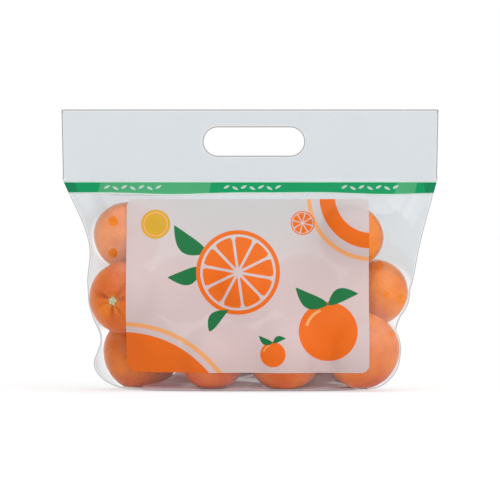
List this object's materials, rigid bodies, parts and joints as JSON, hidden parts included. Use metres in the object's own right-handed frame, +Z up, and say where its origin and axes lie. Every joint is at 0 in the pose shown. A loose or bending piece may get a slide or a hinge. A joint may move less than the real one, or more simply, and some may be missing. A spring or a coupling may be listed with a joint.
{
  "type": "bag of mandarins",
  "caption": "Shut clear film carry bag full of mandarins, with a flat header punched with a hand slot, a printed panel on its front and a flat gusset that it stands on.",
  "frame": {"origin": "middle of the bag's length and depth, on the surface that the bag stands on", "axes": "+Z up, from the gusset to the header; +X along the bag's width, to the right as its printed front is seen; -Y towards the printed front"},
  "size_m": [0.3166, 0.1221, 0.2352],
  "materials": {
    "filled_film": "orange peel seen through glossy clear film; stands for film and fruit together on the plain solid",
    "film": "thin glossy clear film, slightly cool and hazy, with heat-sealed edges, soft creases and small vent holes",
    "print": "thin ink on the film: white panel, orange curves, green band and leaves",
    "peel": "waxy orange citrus peel with fine pores",
    "stem": "dry pale green stem button"
  },
  "bodies": {
    "root": {"mandarin_bag": "filled_film"}
  },
  "joints": []
}
